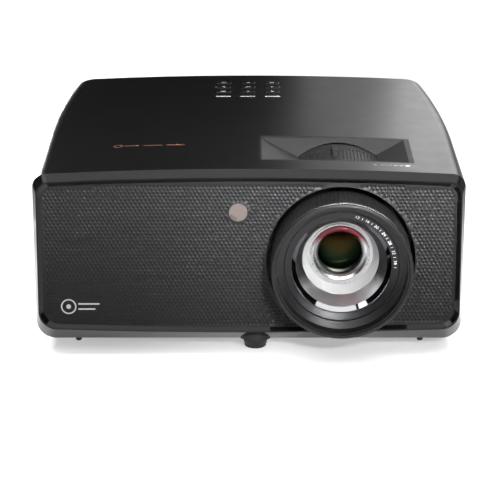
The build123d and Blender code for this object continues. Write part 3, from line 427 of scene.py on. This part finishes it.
def make_finishes():
    """Material of each slot in the record."""
    return {
        "case_black": moulded("case_black", 0.003, 0.31, 1200.0, 0.00002, gloss=0.36),
        "gloss_bezel": polished("gloss_bezel", 0.003, 0.07, ior=1.36),
        "panel_charcoal": moulded("panel_charcoal", 0.007, 0.50, 1400.0, 0.00001, gloss=0.2),
        "ir_plastic": polished("ir_plastic", 0.075, 0.25, (1.0, 0.80, 0.74)),
        "badge_silver": metal("badge_silver", (0.52, 0.52, 0.53), 0.38),
        "copper_inlay": metal("copper_inlay", (0.66, 0.30, 0.19), 0.42),
        "grille_black": moulded("grille_black", 0.012, 0.5, 900.0),
        "rear_black": moulded("rear_black", 0.016, 0.48, 1000.0),
        "connector_steel": metal("connector_steel", (0.62, 0.62, 0.64), 0.3, 500.0, (1, 0.1, 1)),
        "black_plastic": moulded("black_plastic", 0.008, 0.42, 900.0, 0.00004, gloss=0.35),
        "speaker_black": moulded("speaker_black", 0.012, 0.75, 1500.0, 0.00012),
        "circuit_board": circuit("circuit_board"),
        "led_plastic": polished("led_plastic", 0.42, 0.3, (1.0, 1.0, 1.02)),
        "lens_black": moulded("lens_black", 0.006, 0.34, 1500.0, 0.00002, gloss=0.28),
        # painted light and shade: bright plating only low on the ring, dark from 12 mm below the lens axis
        # upwards, as if lit from above
        "scale_grey": metal_with_painted_light("scale_grey", (0.95, 0.95, 0.96), 0.32, -30, -12,
                                  (0.035, 0.035, 0.037)),
        "reflector": moulded("reflector", 0.33, 0.45, 700.0, 0.00001, NEUTRAL, 0.02),
        "lens_glass": glass("lens_glass", (0.58, 0.60, 0.55), (0.10, 0.42, 0.26), 1.25),
        "key_black": moulded("key_black", 0.004, 0.33, 1300.0, 0.00002, gloss=0.4),
        "cast_metal": metal("cast_metal", (0.48, 0.49, 0.5), 0.5, 700.0, None, 0.0001),
        "laser_brass": metal("laser_brass", (0.62, 0.48, 0.24), 0.32),
        "wheel_glass": polished("wheel_glass", 0.6, 0.2, (1.0, 0.85, 0.25)),
        "motor_steel": metal("motor_steel", (0.5, 0.5, 0.52), 0.3),
        "fin_aluminium": metal("fin_aluminium", (0.72, 0.73, 0.74), 0.38, 400.0, (1, 1, 0.1)),
        "pipe_copper": metal("pipe_copper", (0.74, 0.4, 0.26), 0.28),
        "plate_steel": metal("plate_steel", (0.6, 0.61, 0.6), 0.4, 150.0, None, 0.00003, 0.15),
        "insert_brass": metal("insert_brass", (0.72, 0.56, 0.28), 0.3),
        "screw_steel": metal("screw_steel", (0.18, 0.18, 0.19), 0.35),
        "foot_rubber": moulded("foot_rubber", 0.012, 0.8, 1200.0, 0.0001),
    }


def make_more_finishes():
    """Materials of the visual pieces and of the CAD nodes that look different from their slot."""
    return {
        "print_white": moulded("print_white", 0.78, 0.5, 1500.0, 0.00001, NEUTRAL, 0.05),
        "print_grey": moulded("print_grey", 0.40, 0.5, 1500.0, 0.00001, NEUTRAL, 0.06),
        "print_faint": moulded("print_faint", 0.10, 0.5, 1500.0, 0.00001, NEUTRAL, 0.06),
        "well_black": moulded("well_black", 0.008, 0.5, 1200.0, 0.00002, gloss=0.2),
        "coated_amber": glass("coated_amber", (0.5, 0.4, 0.28), (0.8, 0.42, 0.12), 1.6),
        "scale_satin": metal("scale_satin", (0.035, 0.035, 0.037), 0.36, 700.0, None, FINE, 0.03),
        # painted shade: the polished ring goes dark from 10 mm below the lens axis upwards
        "polished_ring_painted_shade": metal_with_painted_light("polished_ring_painted_shade", (0.40, 0.40, 0.41), 0.05, -24, -10,
                                     (0.02, 0.02, 0.022)),
        "ring_silver": metal("ring_silver", (0.52, 0.52, 0.53), 0.28, 500.0, None, FINE, 0.02),
        # painted reflection: the silver turns wine red from 18 mm above the lens axis upwards, standing in
        # for the red glow of the coated glass
        "throat_silver_painted_red_reflection": metal_with_painted_light("throat_silver_painted_red_reflection", (0.55, 0.55, 0.56), 0.24, 5, 18,
                                     (0.19, 0.04, 0.052)),
    }


finishes = make_finishes() | make_more_finishes()


def dress(obj, finish):
    """Give an object one of the finishes."""
    obj.data.materials.clear()
    obj.data.materials.append(finishes[finish])
    return obj


for part in frame["record"]["subparts"]:
    dress(frame["nodes"][part["node"]], part["material_slot"])
for node in ("zoom_well", "zoom_ring"):
    dress(frame["nodes"][node], "well_black")


def soften(node, width):
    """Small rounded edges on a CAD node."""
    rounding = frame["nodes"][node].modifiers.new("soft_edges", "BEVEL")
    rounding.width = width
    rounding.segments = 2
    rounding.limit_method = "ANGLE"
    rounding.angle_limit = math.radians(12)


soften("zoom_well", 0.8 * MM)

# ---------------------------------------------------------------- front panel with its dimples
DIMPLE_PITCH = 3.78 * MM
DIMPLE_R = 1.25 * MM
DIMPLE_RINGS = ((1.0, 0.0), (0.78, 0.36), (0.42, 0.62))    # share of the radius, depth in mm
DIMPLE_BOTTOM = 0.7 * MM
DIMPLE_SIDES = 12
DIMPLE_MARGIN = 1.9 * MM
LENS_LOOP_STEPS = 180
IR_LOOP_STEPS = 48
BORDER_SLACK = 1e-5     # points of a border count as on the plate


def on_panel(u, v, depth=0.0):
    """Point on the leaning panel, from its face's lower middle, and this far behind the face."""
    return Vector((u, PANEL_FOOT.y + v * LEAN_SIN + depth * LEAN_COS,
                   PANEL_FOOT.z + v * LEAN_COS - depth * LEAN_SIN))


def panel_edge(inset):
    """Outline of the panel, drawn in by a distance."""
    return bowed_outline(PANEL_HALF - inset, inset, PANEL_HEIGHT - inset, PANEL_TOP_CROWN,
                         PANEL_LOW_CROWN, PANEL_TOP_R - inset / 2, PANEL_LOW_R - inset / 2)


def dimpled_panel():
    """The front panel as one closed mesh with a hexagonal field of round dimples."""
    lens_v = (LENS_Z - PANEL_FOOT.z) / LEAN_COS
    ir_low, ir_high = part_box("ir_window")
    ir_u = (ir_low.x + ir_high.x) / 2
    ir_v = ((ir_low.z + ir_high.z) / 2 + IR_SETBACK * LEAN_SIN - PANEL_FOOT.z) / LEAN_COS

    def lens_gap(u, v):
        return math.hypot(u - LENS_X, (v - lens_v) * LEAN_COS) - LENS_OPENING_R

    def ir_gap(u, v):
        return math.hypot(u - ir_u, v - ir_v) - IR_HOLE_R

    edge = panel_edge(0)
    field = panel_edge(DIMPLE_MARGIN)
    row_pitch = DIMPLE_PITCH * math.sin(math.radians(60))
    centres = []
    for row in range(1, int(PANEL_HEIGHT / row_pitch)):
        v = row * row_pitch
        count = int(PANEL_HALF / DIMPLE_PITCH)
        for column in range(-count, count + 1):
            u = (column + row % 2 / 2) * DIMPLE_PITCH
            clear = min(lens_gap(u, v), ir_gap(u, v))
            if clear > DIMPLE_MARGIN and inside(field, u, v):
                centres.append((u, v))
    turn = 2 * math.pi
    lens_loop = [(LENS_X + x, lens_v + y / LEAN_COS)
                 for x, y in arc(0, 0, LENS_OPENING_R, 0, turn, LENS_LOOP_STEPS)[:-1]]
    ir_loop = arc(ir_u, ir_v, IR_HOLE_R, 0, turn, IR_LOOP_STEPS)[:-1]
    borders = [edge, lens_loop, ir_loop]
    rims = [arc(u, v, DIMPLE_R, 0, turn, DIMPLE_SIDES)[:-1] for u, v in centres]
    cells = {}
    for u, v in centres:
        cells.setdefault((round(u / DIMPLE_PITCH), round(v / row_pitch)), []).append((u, v))

    def in_dimple(u, v):
        column, row = round(u / DIMPLE_PITCH), round(v / row_pitch)
        near = [c for i in (-1, 0, 1) for j in (-1, 0, 1) for c in cells.get((column + i, row + j), ())]
        return any(math.dist(c, (u, v)) < 0.95 * DIMPLE_R for c in near)

    def in_plate(u, v):
        return min(lens_gap(u, v), ir_gap(u, v)) > -BORDER_SLACK and inside(edge, u, v)

    flat, faces, number = plate_with_holes(
        borders + rims, lambda u, v: in_plate(u, v) and not in_dimple(u, v))
    verts = [on_panel(p.x, p.y) for p in flat]
    first = sum(len(loop) for loop in borders)
    for index, (u, v) in enumerate(centres):
        outer = [number[first + index * DIMPLE_SIDES + n] for n in range(DIMPLE_SIDES)]
        for share, depth in DIMPLE_RINGS[1:]:
            inner = list(range(len(verts), len(verts) + DIMPLE_SIDES))
            verts += [on_panel(x, y, depth * MM)
                      for x, y in arc(u, v, DIMPLE_R * share, 0, turn, DIMPLE_SIDES)[:-1]]
            faces += [(outer[n], outer[(n + 1) % DIMPLE_SIDES], inner[(n + 1) % DIMPLE_SIDES], inner[n])
                      for n in range(DIMPLE_SIDES)]
            outer = inner
        verts.append(on_panel(u, v, DIMPLE_BOTTOM))
        faces += [(outer[n], outer[(n + 1) % DIMPLE_SIDES], len(verts) - 1)
                  for n in range(DIMPLE_SIDES)]
    # edge walls and the plain back
    used = {}
    for face in faces:
        for a, b in zip(face, face[1:] + face[:1]):
            used[frozenset((a, b))] = used.get(frozenset((a, b)), 0) + 1
    rim_edges = [tuple(e) for e, times in used.items() if times == 1]
    rim_points = sorted({i for e in rim_edges for i in e})
    behind = {}
    for i in rim_points:
        behind[i] = len(verts)
        verts.append(on_panel(flat[i].x, flat[i].y, PANEL_THICKNESS))
    faces += [(a, b, behind[b], behind[a]) for a, b in rim_edges]
    place = {i: n for n, i in enumerate(rim_points)}
    back_flat, _, back_faces, sources, _, _ = delaunay_2d_cdt(
        [flat[i] for i in rim_points], [(place[a], place[b]) for a, b in rim_edges], [], 0,
        MERGE_DISTANCE)
    for t in back_faces:
        u = sum(back_flat[i].x for i in t) / len(t)
        v = sum(back_flat[i].y for i in t) / len(t)
        if in_plate(u, v):
            faces.append(tuple(behind[rim_points[sources[i][0]]] for i in t))
    return verts, faces


panel = new_object("dimpled_panel", *dimpled_panel(), "chassis", "panel_charcoal", 60.0)
dress(panel, "panel_charcoal")
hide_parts("front_panel")


# ---------------------------------------------------------------- focus ring
FOCUS_RIBS = 168
FOCUS_GROOVE = 0.8 * MM


def focus_grip():
    """Flange with softened edges and a finely ribbed grip behind it.
    The profile is in millimetres behind the nose and from the lens axis."""
    inner = 61.7
    profile = [(0.0, 62.0), (0.0, 64.3), (0.25, 64.7), (0.7, 64.9), (3.2, 64.9), (3.5, 64.8),
               (4.4, 63.9), (6.2, 63.9), (6.6, 65.2), (7.0, 65.3), (39.6, 65.3), (40.0, 65.2),
               (40.6, 64.0), (46.0, 64.0), (46.0, inner), (2.4, inner), (0.3, 61.75)]
    ribbed = [i for i, (_, r) in enumerate(profile) if r > 65.0]
    metres = [(NOSE_Y + y * MM, r * MM) for y, r in profile]
    return lathe(metres, FOCUS_RIBS * len(RIB_PATTERN), ribbed, FOCUS_GROOVE)


focus = new_object("focus_grip", *focus_grip(), "focus_ring", "lens_black")
dress(focus, "lens_black")
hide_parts("focus_ring")

# ---------------------------------------------------------------- rings inside the nose
CELL_FRONT_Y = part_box("focus_cell")[0].y
RIM_Y = CELL_FRONT_Y + 6.6 * MM    # the ring profiles count from the inner rim of the focus cell
RING_SEGMENTS = 240


def turned(name, finish, profile, stands_for=None):
    """Ring of the focus group from (distance behind the rim, radius) points in millimetres."""
    points = [(RIM_Y + y * MM, r * MM) for y, r in profile]
    ring = new_object(name, *lathe(points, RING_SEGMENTS), "focus_group", "scale_grey", 25.0)
    dress(ring, finish)
    if stands_for:
        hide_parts(stands_for)


turned("scale_face", "scale_satin",
       [(-9.9, 52.9), (-10.0, 52.6), (-9.9, 52.3), (-9.7, 52.2), (-7.3, 46.5), (-7.0, 46.3),
        (-6.7, 46.3), (-2.0, 46.3), (-6.6, 52.9)], "scale_ring")
turned("polished_bevel", "polished_ring_painted_shade",
       [(-6.75, 46.25), (-6.4, 46.05), (-6.0, 45.9), (-2.4, 42.2), (-2.0, 42.1), (-2.0, 44.6),
        (-2.3, 46.2)])
turned("cone_lip", "scale_grey",
       [(-1.9, 42.45), (-1.7, 42.2), (1.9, 40.5), (1.9, 43.9), (-1.9, 44.6)])
turned("white_cone", "reflector",
       [(13.1, 36.3), (13.05, 35.6), (13.3, 35.3), (27.7, 30.95), (28.0, 31.0), (28.0, 36.3)],
       "reflector_cone")
turned("outer_step", "ring_silver",
       [(28.05, 31.2), (27.9, 30.8), (28.0, 29.6), (28.0, 29.3), (26.5, 29.2), (26.4, 29.0), (26.4, 27.8),
        (26.5, 27.6), (27.2, 27.5), (34.9, 27.5), (34.9, 31.2)])
turned("inner_step", "throat_silver_painted_red_reflection",
       [(27.2, 27.4), (25.3, 27.2), (25.2, 27.0), (25.2, 26.3), (34.9, 26.3), (34.9, 27.4)])
turned("throat_lip", "throat_silver_painted_red_reflection",
       [(25.3, 26.1), (25.2, 25.9), (25.25, 25.5), (25.6, 25.0), (26.2, 24.1), (26.9, 23.2), (27.0, 26.1)])
turned("throat_ring", "throat_silver_painted_red_reflection",
       [(27.05, 23.1), (27.6, 22.5), (28.4, 21.7), (29.2, 21.1), (30.0, 20.7), (31.0, 20.45), (32.0, 20.3),
        (33.0, 20.3), (34.2, 20.6), (34.9, 21.1), (34.9, 26.1), (27.05, 26.1)])

# ---------------------------------------------------------------- scale on the ring inside the nose
SCALE_FRONT_Y = RIM_Y - 9.7 * MM
SCALE_FRONT_R = 52.2 * MM
SCALE_REAR_R = 46.5 * MM
SCALE_DEPTH = 2.4 * MM
SCALE_SLANT = math.hypot(SCALE_DEPTH, SCALE_FRONT_R - SCALE_REAR_R)
SCALE_START = math.radians(16.0)     # clockwise from the top
SCALE_STEP = math.radians(2.9)
SCALE_STEPS = 28
FIRST_NUMBER = 12
NUMBER_SIZE = 4.3 * MM
TICK = bar(0, 0, 0.5 * MM, 2.6 * MM)
PRINT_HEIGHT = 0.06 * MM


def on_scale(angle):
    """Placing function for marks about an angle on the cone, with their tops outwards."""
    def place(x, y, rise):
        along = (y + SCALE_SLANT / 2) / SCALE_SLANT
        out = (SCALE_FRONT_R - SCALE_REAR_R) / SCALE_SLANT
        back = SCALE_DEPTH / SCALE_SLANT
        radius = SCALE_REAR_R + along * (SCALE_FRONT_R - SCALE_REAR_R) - rise * back
        depth = SCALE_FRONT_Y + (1 - along) * SCALE_DEPTH - rise * out
        return around_lens(depth, radius, angle + x / radius)
    return place


def number_mesh(text, size, place, rise):
    """Closed thin solid of a number, bent onto a surface by the placing function."""
    curve = bpy.data.curves.new("number", "FONT")
    curve.body = text
    curve.size = size
    curve.align_x = "CENTER"
    curve.align_y = "CENTER"
    curve.extrude = rise / 2
    curve.resolution_u = 3
    holder = bpy.data.objects.new("number", curve)
    scene.collection.objects.link(holder)
    bpy.context.view_layer.update()
    mesh = bpy.data.meshes.new_from_object(holder.evaluated_get(bpy.context.evaluated_depsgraph_get()))
    verts = [place(v.co.x, v.co.y, v.co.z + rise / 2) for v in mesh.vertices]
    faces = [tuple(p.vertices) for p in mesh.polygons]
    bpy.data.objects.remove(holder)
    bpy.data.curves.remove(curve)
    bpy.data.meshes.remove(mesh)
    return verts, faces


def joined(pieces):
    """Several (verts, faces) pairs as one."""
    verts, faces = [], []
    for more_verts, more_faces in pieces:
        start = len(verts)
        verts += more_verts
        faces += [tuple(start + i for i in f) for f in more_faces]
    return verts, faces


def scale_marks():
    """Numbers and ticks by turns along the upper right of the ring, two steps apart."""
    pieces = []
    for n in range(0, SCALE_STEPS, 2):
        place = on_scale(SCALE_START + n * SCALE_STEP)
        if n % 4 == 0:
            pieces.append(number_mesh(str(FIRST_NUMBER + n), NUMBER_SIZE, place, PRINT_HEIGHT))
        else:
            pieces.append(stamped([TICK], place, PRINT_HEIGHT))
    return joined(pieces)


marks = new_object("scale_marks", *scale_marks(), "focus_group", "scale_grey")
dress(marks, "print_white")

# ---------------------------------------------------------------- inner lens of the focus group
SEAT_Y = CELL_FRONT_Y + 54.6 * MM     # front of the seat behind the front lens
SEAT_SEGMENTS = 96
SEAT_PROFILE = [(0.0, 24.2), (0.0, 27.6), (10.5, 27.6), (10.5, 24.2), (9.2, 24.2), (9.2, 25.7),
                (6.8, 25.7), (6.8, 24.2)]

inner_glass = new_object(
    "inner_lens", *lens_disc(SEAT_Y + 7.0 * MM, SEAT_Y + 1.5 * MM, SEAT_Y + 6.0 * MM, SEAT_Y + 9.0 * MM,
                             25.6 * MM), "focus_group", "lens_glass")
dress(inner_glass, "coated_amber")
holder = new_object(
    "inner_lens_holder", *lathe([(SEAT_Y + y * MM, r * MM) for y, r in SEAT_PROFILE], SEAT_SEGMENTS),
    "focus_group", "lens_black")
dress(holder, "lens_black")

# ---------------------------------------------------------------- key symbols
KEY_SYMBOLS = {     # outlines in millimetres about the middle of the key
    "power_key": [band(0, 0, 2.0, 0.5, 120, 420), bar(0, 1.6, 0.5, 2.2)],
    "up_key": [arrow(0, 0, 1.9, 90)],
    "menu_key": [bar(0, 1.5, 4.4, 0.55), bar(0, 0, 4.4, 0.55), bar(0, -1.5, 4.4, 0.55)],
    "left_key": [arrow(0, 0, 1.9, 180)],
    "enter_key": [arrow(-1.6, -0.6, 1.3, 180), bar(0.6, -0.6, 3.2, 0.55), bar(2.0, 0.7, 0.55, 2.4)],
    "right_key": [arrow(0, 0, 1.9, 0)],
    "source_key": [bar(-0.4, 1.6, 4.6, 0.5), bar(-0.4, -1.6, 4.6, 0.5), bar(-2.6, 0, 0.5, 3.0),
                   bar(1.9, 0, 0.5, 3.0), arrow(-0.2, 0, 1.1, 180)],
    "down_key": [arrow(0, 0, 1.9, 270)],
    "back_key": [band(0.2, -0.1, 1.5, 0.5, -90, 90), bar(-0.6, -1.6, 1.7, 0.5),
                 arrow(-0.9, 1.4, 1.2, 180)],
}


def on_top_of(x, y, z):
    """Placing function for flat marks in millimetres on a level face."""
    return lambda u, v, rise: Vector((x + u * MM, y + v * MM, z + rise))


for key, outlines in KEY_SYMBOLS.items():
    low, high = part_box(key)
    spot = on_top_of((low.x + high.x) / 2, (low.y + high.y) / 2, high.z)
    symbol = new_object(key + "_symbol", *stamped(outlines, spot, PRINT_HEIGHT), key, "led_plastic")
    dress(symbol, "print_grey")


# ---------------------------------------------------------------- printed marks on the case
def skin_above(node):
    """Function that gives the height of a node's upper skin over a point."""
    part = frame["nodes"][node]
    tree = BVHTree.FromPolygons([v.co for v in part.data.vertices],
                                [tuple(p.vertices) for p in part.data.polygons])

    def height(x, y):
        for step in (0, 0.3 * MM, 0.7 * MM):    # a ray can slip between two faces
            from_above = Vector((x + step, y + 0.6 * step, 1.0))
            hit = tree.ray_cast(from_above, Vector((0, 0, -1)))[0]
            if hit:
                return hit.z
        return CASE_TOP_Z
    return height


case_skin = skin_above("top_cover")


def on_case(x, y):
    """Placing function for marks in millimetres that follow the case's bowed top."""
    return lambda u, v, rise: Vector((
        (x + u) * MM, (y + v) * MM, case_skin((x + u) * MM, (y + v) * MM) + rise))


MENU_ARROWS = {"left": (-35.0, 138.0, 180), "right": (32.0, 138.0, 0)}     # place and heading
for side, (x, y, heading) in MENU_ARROWS.items():
    outline = arrow(0, 0, 1.6, heading)
    mark = new_object("menu_arrow_" + side, *stamped([outline], on_case(x, y), PRINT_HEIGHT),
                      "chassis", "case_black")
    dress(mark, "print_faint")

ZOOM_MARKS_PLACE = (134.0, -135.0)
ZOOM_MARKS = [bar(-17.0, 0, 2.6, 1.8), arrow(-10.5, 0, 1.2, 180), bar(-6.5, 0, 3.0, 0.5),
              arrow(-2.5, 0, 1.2, 0), bar(2.0, -1.0, 3.2, 0.5), bar(2.0, 1.0, 3.2, 0.5),
              band(7.5, 0, 1.2, 0.45, 0, 350), bar(13.5, 0, 4.2, 3.0)]
zoom_marks = new_object("zoom_marks", *stamped(ZOOM_MARKS, on_case(*ZOOM_MARKS_PLACE), PRINT_HEIGHT),
                        "chassis", "case_black")
dress(zoom_marks, "print_grey")

# ---------------------------------------------------------------- stage, lights and camera
FLOOR_HALF = 14.0
FLOOR_GLOW = 0.42       # the floor is lit from below as well, like a light table


def stage_floor():
    """Wide pale floor."""
    mesh = bpy.data.meshes.new("stage_floor")
    n = FLOOR_HALF
    mesh.from_pydata([(-n, -n, 0), (n, -n, 0), (n, n, 0), (-n, n, 0)], [], [(0, 1, 2, 3)])
    obj = bpy.data.objects.new("stage_floor", mesh)
    scene.collection.objects.link(obj)
    made = Finish("stage_floor", 0.06, ior=1.9)
    made.colour(made.noise(0.7, 2.0), (0.80, 0.80, 0.80), (0.82, 0.82, 0.82))
    made.set(Emission_Color=(1, 1, 1, 1), Emission_Strength=FLOOR_GLOW)
    obj.data.materials.append(made.material)


stage_floor()

LIGHTS = {    # place, point it faces, width, height, spread in degrees, power in watts
    "overhead": ((0.55, -0.45, 1.5), (0.1, -0.15, 0.1), 2.6, 1.5, 180, 24.0),
    "rear_floor": ((0.0, 1.8, 1.7), (0.0, 1.8, 0.0), 4.5, 1.6, 60, 28.0),
    "left_floor": ((-1.5, 0.0, 1.5), (-1.1, 0.0, 0.0), 0.8, 2.4, 60, 10.0),
    "right_floor": ((1.5, 0.0, 1.5), (1.1, 0.0, 0.0), 0.8, 2.4, 60, 7.0),
    "panel_right": ((0.45, -0.95, 0.62), (0.22, -0.16, 0.185), 0.5, 0.2, 14, 1.2),
    "panel_top": ((0.1, -0.95, 0.70), (0.0, -0.17, 0.20), 0.5, 0.12, 12, 0.5),
    "rear_strip": ((0.14, 0.7, 0.42), (0.1, 0.0, 0.17), 0.14, 0.4, 180, 0.11),
    "rear_right": ((0.34, 0.7, 0.42), (0.15, 0.0, 0.17), 0.28, 0.4, 180, 0.9),
    "low_rear_left": ((-0.72, 0.95, 0.18), (-0.18, 0.0, 0.15), 0.5, 0.18, 180, 10.0),
    "right_box": ((1.1, -0.1, 0.5), (0.15, 0.0, 0.1), 0.6, 0.5, 180, 0.5),
    "front_high": ((-0.35, -0.9, 1.0), (0.1, -0.1, 0.1), 0.9, 0.4, 180, 4.0),
}
WORLD_LIGHT = 0.0055


def area_light(name, place, target, width, height, spread, power):
    """Soft rectangular light that faces a point."""
    data = bpy.data.lights.new(name, "AREA")
    data.shape = "RECTANGLE"
    data.size, data.size_y, data.energy = width, height, power
    data.spread = math.radians(spread)
    obj = bpy.data.objects.new(name, data)
    scene.collection.objects.link(obj)
    obj.location = place
    obj.rotation_euler = (Vector(target) - Vector(place)).to_track_quat("-Z", "Y").to_euler()


for light, settings in LIGHTS.items():
    area_light(light, *settings)

world = bpy.data.worlds.new("studio")
world.use_nodes = True
world.node_tree.nodes["Background"].inputs["Color"].default_value = (1, 1, 1, 1)
world.node_tree.nodes["Background"].inputs["Strength"].default_value = WORLD_LIGHT
scene.world = world
scene.view_settings.view_transform = "Standard"

CAMERA_PLACE = (0.0009, -1.9553, 0.7322)
CAMERA_DROP = math.radians(19.4)        # below the horizontal
CAMERA_LENS = 147.6                     # millimetres, on a sensor of this width
CAMERA_SENSOR = 36.0
camera = bpy.data.objects.new("camera", bpy.data.cameras.new("camera"))
camera.data.lens = CAMERA_LENS
camera.data.sensor_width = CAMERA_SENSOR
camera.location = CAMERA_PLACE
camera.rotation_euler = (math.pi / 2 - CAMERA_DROP, 0, 0)
scene.collection.objects.link(camera)
scene.camera = camera
